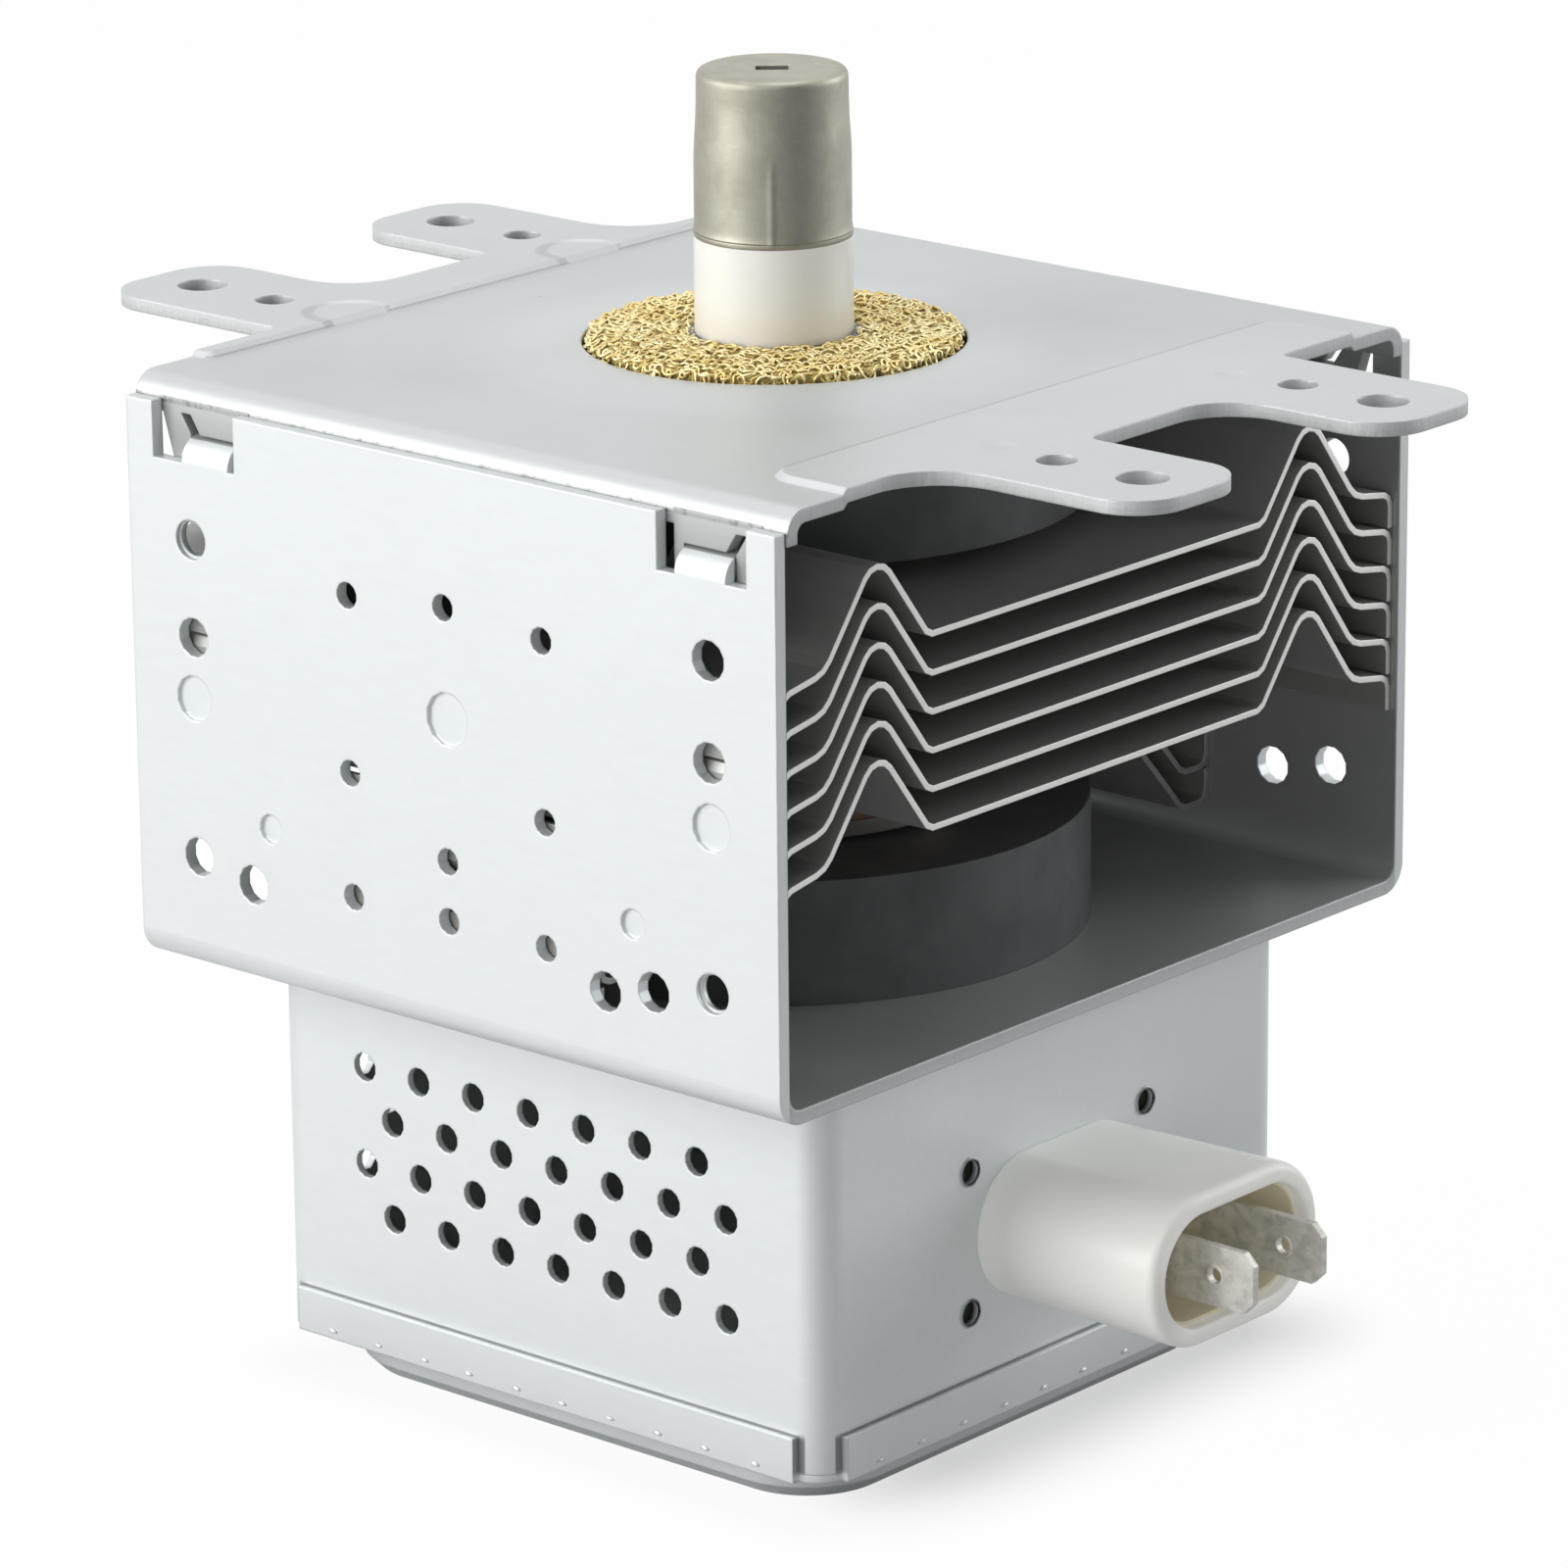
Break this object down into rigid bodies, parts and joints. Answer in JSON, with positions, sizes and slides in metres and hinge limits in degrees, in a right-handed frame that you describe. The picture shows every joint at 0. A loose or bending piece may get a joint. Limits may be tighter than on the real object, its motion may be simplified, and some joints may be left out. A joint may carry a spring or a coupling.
{
  "type": "magnetron",
  "caption": "Microwave oven vacuum tube in a folded steel yoke with cooling fins, ring magnets, capped antenna, eared mounting plate and a perforated filter box with a bladed socket.",
  "frame": {"origin": "antenna axis in the mounting plane, the top of the four raised ears", "axes": "+Z along the antenna out of the plate, +X toward the connector, +Y across the side walls"},
  "size_m": [0.135, 0.0964, 0.1327],
  "materials": {
    "zinc_steel": "zinc-plated, satin, faintly blue",
    "ferrite": "ground dark grey ferrite",
    "white_ceramic": "white alumina",
    "nickel": "satin nickel plate",
    "seal_alloy": "drawn seal alloy",
    "soft_iron": "pressed iron",
    "copper": "bright copper",
    "brass_mesh": "knitted brass wire",
    "tungsten": "drawn tungsten wire",
    "molybdenum": "drawn molybdenum",
    "housing_plastic": "off-white moulding",
    "capacitor_resin": "beige cast resin",
    "aluminium": "dull rolled sheet with bright cut edges",
    "tinned_brass": "tin plate",
    "enamelled_copper": "enamelled wire"
  },
  "bodies": {
    "root": {"anode_cylinder": "copper", "anode_vane_01": "copper", "anode_vane_02": "copper", "anode_vane_03": "copper", "anode_vane_04": "copper", "anode_vane_05": "copper", "anode_vane_06": "copper", "anode_vane_07": "copper", "anode_vane_08": "copper", "anode_vane_09": "copper", "anode_vane_10": "copper", "antenna_cap": "nickel", "antenna_insulator": "white_ceramic", "antenna_lead": "copper", "antenna_seal_cup": "seal_alloy", "capacitor_body": "capacitor_resin", "capacitor_flange": "zinc_steel", "cathode_insulator": "white_ceramic", "cathode_lug_1": "tinned_brass", "cathode_lug_2": "tinned_brass", "cathode_seal_cup": "seal_alloy", "centre_lead": "molybdenum", "choke_coil_1": "enamelled_copper", "choke_coil_2": "enamelled_copper", "choke_core_1": "ferrite", "choke_core_2": "ferrite", "connector_housing": "housing_plastic", "cooling_fin_1": "aluminium", "cooling_fin_2": "aluminium", "cooling_fin_3": "aluminium", "cooling_fin_4": "aluminium", "cooling_fin_5": "aluminium", "cooling_fin_6": "aluminium", "exhaust_tube": "copper", "filament": "tungsten", "filter_box": "zinc_steel", "filter_box_lid": "zinc_steel", "lower_end_hat": "molybdenum", "lower_magnet": "ferrite", "lower_pole_piece": "soft_iron", "mounting_plate": "zinc_steel", "rf_gasket": "brass_mesh", "side_lead": "molybdenum", "terminal_blade_1": "tinned_brass", "terminal_blade_2": "tinned_brass", "upper_end_hat": "molybdenum", "upper_magnet": "ferrite", "upper_pole_piece": "soft_iron", "yoke_frame": "zinc_steel"}
  },
  "joints": []
}
